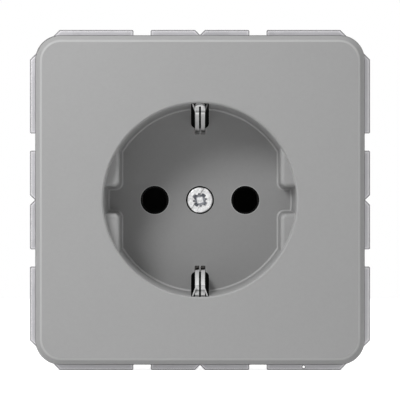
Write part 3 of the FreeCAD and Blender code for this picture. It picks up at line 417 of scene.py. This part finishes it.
def bare_metal(name, colour, dull, stretch, polished, rough, metallic=1.0):
    """A stamped or turned metal: its colour, dull patches, the way of its lines, and its gloss."""
    made, tree, shader = material(name, metallic=metallic)
    lines = effect(tree, drawn_lines, Stretch=stretch, Scale=2500.0)
    patches = lines.outputs["Patches"]
    painted = tint(tree, colour, spread(tree, patches, 0.35, 0.7), dull)
    edge_wear_and_highlight = effect(tree, wear_and_light_edges, Width=0.00012).outputs["Mask"]
    brighter = tuple(min(1.0, part * 1.25) for part in colour[:3]) + (1,)
    feed(tree, shader, {"Base Color": tint(tree, painted, edge_wear_and_highlight, brighter),
                        "Roughness": spread(tree, patches, 0.3, 0.7, polished, rough)})
    relief(tree, shader, lines.outputs["Height"], line_depth)
    return made


# Dark grey painted as shade, so the pin holes stay black.
tin_in_painted_shade = bare_metal("tinned bronze", colour=(0.035, 0.032, 0.03, 1), dull=(0.02, 0.018, 0.016, 1),
                    stretch=(1, 0.1, 1), polished=0.55, rough=0.7, metallic=0.8)
for contact in ("contact_left", "contact_right", "earth_terminal"):
    dress(contact, tin_in_painted_shade)


# Clamp springs: bent from blued stainless spring strip, two to a pole, and sprung into the
# base's chambers, where they bite on the wire.
spring_steel = bare_metal("spring steel", colour=(0.50, 0.51, 0.53, 1), dull=(0.36, 0.37, 0.40, 1),
                          stretch=(1, 1, 0.1), polished=0.22, rough=0.4)
for pole in ("right", "left", "earth"):
    for count in (1, 2):
        dress("clamp_spring_%s_%d" % (pole, count), spring_steel)


# Release buttons: small coloured mouldings that stand a millimetre out of the lid. Orange
# frees the two line wires and green frees the earth wires.
def button_plastic(name, colour, edge):
    """The smooth plastic of a button, in its own colour."""
    return moulding(name, colour, edge, grain=2400.0, depth=0.000003, polished=0.35, dull=0.5,
                    contrast=0.15, shine=0.5)


orange = button_plastic("orange button", (0.80, 0.20, 0.03, 1), (0.86, 0.36, 0.14, 1))
green = button_plastic("green button", (0.06, 0.34, 0.10, 1), (0.16, 0.46, 0.20, 1))
dress("release_button_right", orange)
dress("release_button_left", orange)
dress("release_button_earth", green)


# Claws: punched and bent from mild steel, zinc plated and passivated. Each rides along the
# thread of its own screw, and its teeth bite into the wall box.
claw_zinc = zinc_sheet("plated claw steel", colour=(0.55, 0.55, 0.56, 1),
                       edge=(0.74, 0.74, 0.75, 1), flowers=700.0, contrast=0.18)
for side in ("left", "right"):
    dress("claw_" + side, claw_zinc)


# Claw screws: long M3 screws, rolled from steel wire and zinc plated. The head has a driving
# cross and a round underside that rocks on the ring, and the thread runs down the whole shank.
claw_screw_low, claw_screw_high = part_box("claw_screw_right")
claw_screw_out = (claw_screw_low[0] + claw_screw_high[0]) / 2
claw_head_thick = 0.0015
claw_head_front = claw_screw_low[1]
claw_head_back = claw_head_front + claw_head_thick
claw_head_radius = claw_screw_high[0] - claw_screw_out
head_edge = 0.0002
seat_rise = 0.0003
shank_radius = 0.0015
claw_thread_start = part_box("support_ring")[0][1]
claw_thread_end = claw_screw_high[1]
thread_pitch = 0.0005
drive_turn = math.radians(54)
claw_screw_spokes = 64
claw_floor_half = 0.0005


def ring_of(radius, depth, spokes, at_x=0.0):
    """A ring of points round a screw's axis, at one depth or at a depth for each place."""
    ring = []
    for spoke in range(spokes):
        turn = 2 * math.pi * spoke / spokes
        x, z = radius * math.cos(turn), radius * math.sin(turn)
        ring.append((at_x + x, depth(x, z) if callable(depth) else depth, z))
    return ring


def thread_rings(start, end, spokes, at_x=0.0, steps_a_turn=8, tip=0.0006):
    """Rings down a rolled thread, from the head's end to a blunted tip."""
    rings = []
    steps = round((end - start) / thread_pitch * steps_a_turn)
    height = 0.6 * thread_pitch
    for step in range(steps + 1):
        depth = start + (end - start) * step / steps
        ring = []
        for spoke in range(spokes):
            share = ((depth - start) / thread_pitch - spoke / spokes) % 1.0
            radius = shank_radius - height * abs(2 * share - 1)
            radius = min(radius, shank_radius - max(0.0, depth - end + tip))
            turn = 2 * math.pi * spoke / spokes
            ring.append((at_x + radius * math.cos(turn), depth, radius * math.sin(turn)))
        rings.append(ring)
    return rings


def closed_mesh(name, rings):
    """A closed mesh through rings of equally many points, fanned shut at both ends."""
    points = [point for ring in rings for point in ring]
    count = len(rings[0])
    faces = []
    for low in range(len(rings) - 1):
        for step in range(count):
            after = (step + 1) % count
            faces.append((low * count + step, low * count + after,
                          (low + 1) * count + after, (low + 1) * count + step))
    for ring in (rings[0], rings[-1]):
        first = 0 if ring is rings[0] else (len(rings) - 1) * count
        points.append(tuple(sum(point[axis] for point in ring) / count for axis in range(3)))
        hub = len(points) - 1
        faces += [(first + step, first + (step + 1) % count, hub) for step in range(count)]
    made = bpy.data.meshes.new(name)
    made.from_pydata(points, [], faces)
    work = bmesh.new()
    work.from_mesh(made)
    bmesh.ops.recalc_face_normals(work, faces=work.faces)
    work.to_mesh(made)
    work.free()
    return made


def placed(name, made, body, finishes):
    """A mesh set out as a piece of a body and parented to it, with its finishes."""
    piece = bpy.data.objects.new(name, made)
    for finish in finishes:
        made.materials.append(finish)
    bpy.context.collection.objects.link(piece)
    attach(piece, body)
    return piece


def turned(x, z):
    """A place on a screw's head, measured along the two arms of its driving cross."""
    across = x * math.cos(drive_turn) + z * math.sin(drive_turn)
    along = z * math.cos(drive_turn) - x * math.sin(drive_turn)
    return across, along


def cross_depth(x, z, reach, floor, width, deep, rib=0.0):
    """How deep a cross recess is at a place; a rib is a fine groove between two arms."""
    across, along = turned(x, z)
    found = 0.0
    for u, v in ((across, along), (along, across)):
        if abs(v) < width / 2:
            found = max(found, deep * min(1.0, (reach - abs(u)) / (reach - floor * 1.3)))
    flat = (abs(across) + abs(along)) / math.sqrt(2)
    found = max(found, deep * min(1.0, (floor * 1.75 - flat) / (floor * 0.75)))
    if rib:
        for u, v in ((across + along, across - along), (across - along, across + along)):
            if abs(v) / math.sqrt(2) < rib / 2:
                share = (reach * 0.88 - abs(u) / math.sqrt(2)) / 0.0004
                found = max(found, 0.8 * deep * min(1.0, share))
    return max(found, 0.0)


def shade_recess(made, front, back, floor_half, at_x=0.0):
    """Gives the drive recess, but not its square floor, the second finish, a painted shade; smooths
    the shank.
    """
    lip = 0.00024
    drive_reach = 0.0023
    for face in made.polygons:
        face.use_smooth = abs(face.normal.y) < 0.5
        middle = face.center
        x, z = middle.x - at_x, middle.z
        across, along = turned(x, z)
        on_floor = (abs(across) + abs(along)) / math.sqrt(2) < floor_half
        if front + lip < middle.y < back and math.hypot(x, z) < drive_reach and not on_floor:
            face.material_index = 1


def claw_screw_face(x, z):
    """The depth of a claw screw's head at a place."""
    struck = cross_depth(x, z, reach=0.0015, floor=claw_floor_half, width=0.0007, deep=0.0009)
    return claw_head_front + struck


# Darker zinc in the drive recesses: painted shade inside the cross.
recess_shade_zinc = zinc_sheet("zinc painted dark as recess shade", colour=(0.24, 0.25, 0.28, 1),
                        edge=(0.34, 0.35, 0.38, 1), flowers=900.0, contrast=0.2, metallic=0.6)
claw_head_outline = [(0.00005 * step, claw_screw_face) for step in range(1, 46)]
claw_head_outline += [(claw_head_radius, claw_head_front + head_edge),
                      (claw_head_radius, claw_head_back),
                      (shank_radius, claw_head_back + seat_rise)]
for side, at_x in (("left", -claw_screw_out), ("right", claw_screw_out)):
    rings = [ring_of(radius, depth, claw_screw_spokes, at_x) for radius, depth in claw_head_outline]
    rings += thread_rings(claw_thread_start, claw_thread_end, claw_screw_spokes, at_x)
    made = closed_mesh("claw screw " + side, rings)
    shade_recess(made, claw_head_front, claw_head_back, claw_floor_half, at_x)
    body = "claw_screw_" + side
    piece = placed("claw_screw_threaded_" + side, made, body, [claw_zinc, recess_shade_zinc])
    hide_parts("claw_screw_" + side)


# Earth bracket: one strip of nickel-plated bronze, with a threaded collar in the middle and a
# slotted, bowed clip at each end that wipes the plug's earth contacts. Light and shade are painted
# along the clips: bright crests, darker bends, brown painted shade at the tips, shaded wings.
clip_near = 13.5
clip_far = 20.5
clip_half = 0.00106
flare_from = 0.0182


def ramp(tree, value, stops):
    """A colour ramp through stops, each a place from 0 to 1 and a grey or a colour."""
    made = put(tree, "ValToRGB", {"Fac": value})
    entries = made.color_ramp.elements
    entries[0].position, entries[1].position = stops[0][0], stops[-1][0]
    for at, shade in stops[1:-1]:
        entries.new(at)
    for entry, (at, shade) in zip(entries, stops):
        entry.color = (*shade, 1) if isinstance(shade, tuple) else (shade, shade, shade, 1)
    return made.outputs[0]


def clip_stops(*places):
    """Stops given in millimetres from the socket's axis, as shares of the clips' length."""
    return [((mm - clip_near) / (clip_far - clip_near), shade) for mm, shade in places]


def nickel_clips(name):
    """Nickel over bronze, with light and shade painted along the clips and their wings, and brown
    painted shade at the tips.
    """
    made, tree, shader = material(name, metallic=0.06, roughness=0.36, shine=1.0)
    x, _, z = axes(tree)
    out = reckon(tree, "ABSOLUTE", z)
    along = spread(tree, out, clip_near / 1000, clip_far / 1000)
    # Brown painted shade at the clips' tips, where they go down into the floor's slits.
    tip_shade_brown = (0.075, 0.065, 0.055)
    tip_shade_lighter_brown = (0.17, 0.14, 0.11)
    # Light and shade painted along each clip, out to the rim; the lower clip is painted darker.
    upper_clip_light_and_shade = ramp(tree, along, clip_stops(
        (13.6, tip_shade_brown), (13.95, tip_shade_brown), (14.08, 1.0), (18.15, 1.0), (18.3, 0.42), (18.5, 0.45),
        (18.7, 0.95), (20.4, 1.0)))
    lower_clip_light_and_shade = ramp(tree, along, clip_stops(
        (13.6, tip_shade_brown), (14.0, tip_shade_brown), (14.35, tip_shade_lighter_brown), (14.65, 1.0), (17.65, 1.0), (17.8, 0.52),
        (18.3, 0.56), (18.6, 0.6), (18.75, 0.22), (18.95, 0.25), (19.1, 0.46), (20.4, 0.5)))
    in_upper = above(tree, z, 0.0)
    painted = tint(tree, lower_clip_light_and_shade, in_upper, upper_clip_light_and_shade)
    # The bent-back wings are painted darker as shade, the upper right one darkest.
    wide = above(tree, reckon(tree, "ABSOLUTE", x), clip_half)
    flared = both(tree, wide, above(tree, out, flare_from))
    shaded_wing = both(tree, above(tree, x, 0.0), in_upper)
    painted = tint(tree, painted, flared, spread(tree, shaded_wing, 0.0, 1.0, 0.5, 0.08))
    lines = effect(tree, drawn_lines, Stretch=(1, 0.08, 0.08), Scale=2500.0).outputs["Height"]
    painted = shaded(tree, painted, spread(tree, lines, 0.3, 0.7, 0.9, 1.02))
    feed(tree, shader, {"Base Color": painted})
    relief(tree, shader, lines, line_depth)
    return made


dress("earth_bracket", nickel_clips("nickel-plated bronze"))


# Earth rivet: a small brass rivet that joins the earth terminal to the bracket's bar, its
# head spread by a punch.
dress("earth_rivet", bare_metal(
    "rivet brass", colour=(0.78, 0.57, 0.26, 1), dull=(0.62, 0.43, 0.18, 1), stretch=(1, 1, 1),
    polished=0.2, rough=0.4))


# Cover plate: one moulding in grey thermoplastic, with a dead matt, finely sparked face. Its
# edges are rounded by the mould and carry thin painted highlight lines, and its sides are
# painted darker towards the wall as shade.
plate_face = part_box("cover_plate")[0][1]
recess_deep = 0.0175
recess_floor = plate_face + recess_deep
rim_from = 0.028
rim_to = 0.04
pin_out = 0.0095
pin_hole_radius = 0.0029
well_radius = 0.0031
plate_grey = (0.325, 0.325, 0.325, 1)
edge_highlight_grey = (0.46, 0.46, 0.46, 1)
crease_highlight_grey = (0.40, 0.40, 0.40, 1)
well_shade_dark = (0.03, 0.03, 0.03, 1)
side_shade_at_front = 0.24
side_shade_at_wall = 0.035


def between(tree, value, low, high):
    """A mask of where a value is between two limits."""
    return both(tree, above(tree, value, low), below(tree, value, high))


def plate_finish(name):
    """Grey plastic with painted highlights on its fine bevels and hole rims, and painted shade on
    its sides and in its screw well.
    """
    made, tree, shader = material(name, shine=0.18)
    skin = effect(tree, moulded_skin, Colour=plate_grey, Grain=1500.0, Contrast=0.12)
    x, depth, z = axes(tree)
    x = reckon(tree, "ABSOLUTE", x)
    out = reckon(tree, "MAXIMUM", x, reckon(tree, "ABSOLUTE", z))
    normal = put(tree, "NewGeometry").outputs["True Normal"]
    tilt = reckon(tree, "ABSOLUTE", put(tree, "SeparateXYZ", {0: normal}).outputs["Y"])

    # Painted highlight on the crease between the face and its outer bevel.
    crease_highlight = both(tree, between(tree, tilt, 0.85, 0.97), between(tree, out, rim_from, rim_to),
                  between(tree, depth, plate_face - 0.0001, plate_face + 0.0008))
    # Painted highlight along the recess floor's outline.
    floor_edge_highlight = both(tree, between(tree, tilt, 0.4, 0.93),
                      between(tree, depth, recess_floor - 0.0004, recess_floor - 0.00001))
    # Painted highlight in a thin ring round each pin hole.
    off_pin = reckon(tree, "SUBTRACT", x, pin_out)
    from_pin = reckon(tree, "SQRT", reckon(tree, "ADD", reckon(tree, "MULTIPLY", off_pin, off_pin),
                                           reckon(tree, "MULTIPLY", z, z)))
    hole_rim_highlight = both(tree, between(tree, from_pin, pin_hole_radius, pin_hole_radius + 0.00022),
                     between(tree, depth, recess_floor - 0.0001, recess_floor + 0.0002))
    # Painted highlights along the other sharp edges inside the recess.
    edge_wear_and_highlight = effect(tree, wear_and_light_edges, Width=0.0002, Gain=20.0, Break_Up=1400.0, Patchy=0.2)
    edge_wear_and_highlight = both(tree, edge_wear_and_highlight.outputs["Mask"], above(tree, depth, plate_face + 0.0015))
    # Painted shade on the outer sides, darker towards the wall.
    side_shade_mask = both(tree, below(tree, tilt, 0.4), above(tree, out, rim_from))
    # Painted shade: the screw well round the head, near black.
    well_shade = both(tree, below(tree, out, well_radius), above(tree, depth, recess_floor + 0.0001))

    painted = tint(tree, skin.outputs["Colour"], edge_wear_and_highlight, edge_highlight_grey)
    painted = tint(tree, painted, either(tree, floor_edge_highlight, hole_rim_highlight), edge_highlight_grey)
    painted = tint(tree, painted, crease_highlight, crease_highlight_grey)
    painted_side_shade = spread(tree, depth, plate_face + 0.0012, plate_face + 0.007,
                          side_shade_at_front, side_shade_at_wall)
    painted = tint(tree, painted, side_shade_mask, painted_side_shade)
    feed(tree, shader, {"Base Color": tint(tree, painted, well_shade, well_shade_dark),
                        "Roughness": spread(tree, skin.outputs["Polish"], 0.3, 0.7, 0.45, 0.6)})
    relief(tree, shader, skin.outputs["Height"], 0.000012)
    return made


dress("cover_plate", plate_finish("grey cover plastic"))


# Cover screw: bright zinc-plated steel, cold headed with a combination drive: a ribbed cross over
# one shallow slot. It holds the cover plate to the earth bracket from the middle of the recess.
cover_screw_low, cover_screw_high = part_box("cover_screw")
head_thick = 0.0016
head_face_y = cover_screw_low[1]
head_seat_y = head_face_y + head_thick
screw_tip_y = cover_screw_high[1]
head_radius = cover_screw_high[0]
head_lip_radius = head_radius - 0.00008
crown = 0.00006
collar_radius = 0.0016
slot_turn = math.radians(59)
slot_half = 0.00067
slot_deep = 0.0002
slot_draft = 0.0002
drive_floor_half = 0.0006
cover_screw_spokes = 160


def cloudy_zinc(name, low, high, roughness):
    """Bright zinc with a cloudy, slightly blistered skin."""
    made, tree, shader = material(name, metallic=0.55, roughness=roughness)
    clouds = noise(tree, 1300.0, 4.0, roughness=0.65)
    painted = shaded(tree, (1, 1, 1, 1), spread(tree, clouds, 0.35, 0.65, low, high))
    feed(tree, shader, {"Base Color": painted})
    relief(tree, shader, clouds, 0.00004)
    return made


def slotted(x, z):
    """The depth of the head with its shallow slot, before the cross is struck."""
    off = abs(z * math.cos(slot_turn) - x * math.sin(slot_turn))
    return head_face_y + slot_deep * min(1.0, max(0.0, (slot_half - off) / slot_draft))


def cover_screw_face(x, z):
    """The depth of the head with the slot and the ribbed cross."""
    struck = cross_depth(x, z, reach=0.00172, floor=0.00066, width=0.0008, deep=0.00105,
                         rib=0.00032)
    return max(head_face_y + struck, slotted(x, z))


def head_rim(drop):
    """The depth along the head's rim, below its face, with the slot running out through it."""
    return lambda x, z: max(head_face_y + drop, slotted(x, z))


head_outline = [(0.00004 * step, cover_screw_face) for step in range(1, 62)]
head_outline += [(head_lip_radius, head_rim(crown)), (head_radius, head_rim(head_edge)),
                 (head_radius, head_seat_y), (collar_radius, head_seat_y)]
rings = [ring_of(radius, depth, cover_screw_spokes) for radius, depth in head_outline]
rings += thread_rings(head_seat_y, screw_tip_y, cover_screw_spokes)
made = closed_mesh("cover screw", rings)
shade_recess(made, head_face_y, head_seat_y, drive_floor_half)
bright_zinc = cloudy_zinc("bright zinc screw", low=0.52, high=0.92, roughness=0.38)
screw = placed("cover_screw_driven", made, "root", [bright_zinc, recess_shade_zinc])
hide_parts("cover_screw")


# Floor: a sheet of plain pale card under the ring's lower edge, shown white to the camera and
# in reflections, with the object's own shadow on it.
lowest = solid_box[0][2]
floor_reach = 1.5
card_glow = 0.8


def white_card(name):
    """Pale card that the camera and shiny faces see as white, with the shadows still on it."""
    made, tree, shader = material(name, roughness=0.9)
    shader.inputs["Base Color"].default_value = (0.86, 0.86, 0.86, 1)
    rays = put(tree, "LightPath").outputs
    direct = either(tree, rays["Is Camera Ray"], rays["Is Glossy Ray"])
    strength = reckon(tree, "MULTIPLY", direct, card_glow)
    glow = put(tree, "Emission", {"Color": (1, 1, 1, 1), "Strength": strength})
    lit = put(tree, "AddShader", {0: shader.outputs[0], 1: glow.outputs[0]})
    feed(tree, tree.nodes["Material Output"], {"Surface": lit.outputs[0]})
    return made


corners = [(x * floor_reach, y * floor_reach, lowest)
           for x, y in ((-1, -1), (1, -1), (1, 1), (-1, 1))]
floor_mesh = bpy.data.meshes.new("floor")
floor_mesh.from_pydata(corners, [], [(0, 1, 2, 3)])
floor_mesh.materials.append(white_card("pale card"))
floor = bpy.data.objects.new("floor", floor_mesh)
bpy.context.collection.objects.link(floor)


# Light: a soft key lamp up and to the left of the front, and a white room. The room lights the
# object most from a band low round the front, so that the recess stays darker than the plate, and
# the camera and the shiny faces see it as plain white.
room_level = 18.5
band = 3.0

key_place = Vector((-0.110, -0.176, 0.132))
key_lamp = bpy.data.lights.new("key", "AREA")
key_lamp.shape = "DISK"
key_lamp.size = 0.082
key_lamp.energy = 0.325
key = bpy.data.objects.new("key", key_lamp)
key.location = key_place
key.rotation_euler = (-key_place).to_track_quat("-Z", "Y").to_euler()
bpy.context.collection.objects.link(key)

room = bpy.data.worlds.new("room")
room.use_nodes = True
bpy.context.scene.world = room
sky = room.node_tree
backdrop = sky.nodes["Background"]
rays = put(sky, "LightPath").outputs
seen = either(sky, rays["Is Camera Ray"], rays["Is Glossy Ray"], rays["Is Transmission Ray"])
towards = put(sky, "SeparateXYZ", {0: put(sky, "TexCoord").outputs["Generated"]}).outputs["Y"]
facing = reckon(sky, "MAXIMUM", reckon(sky, "MULTIPLY", towards, -1.0), 0.0)
slant = reckon(sky, "POWER", reckon(sky, "SUBTRACT", 1.0, facing), band)
soft = reckon(sky, "MULTIPLY", reckon(sky, "MULTIPLY", facing, slant), room_level)
unseen = reckon(sky, "MULTIPLY", reckon(sky, "SUBTRACT", 1.0, seen), soft)
feed(sky, backdrop, {"Color": (1, 1, 1, 1), "Strength": reckon(sky, "ADD", seen, unseen)})


# Camera: a long lens square to the plate and level with the middle of the recess.
picture_width = 0.08356
camera_away = 2.1
lens = bpy.data.cameras.new("camera")
lens.sensor_width = 36
lens.lens = lens.sensor_width * camera_away / picture_width
lens.clip_start = 0.1
lens.clip_end = 20
camera = bpy.data.objects.new("camera", lens)
camera.location = (0, -camera_away, 0)
camera.rotation_euler = (math.pi / 2, 0, 0)
bpy.context.collection.objects.link(camera)
bpy.context.scene.camera = camera
bpy.context.scene.view_settings.view_transform = "Standard"
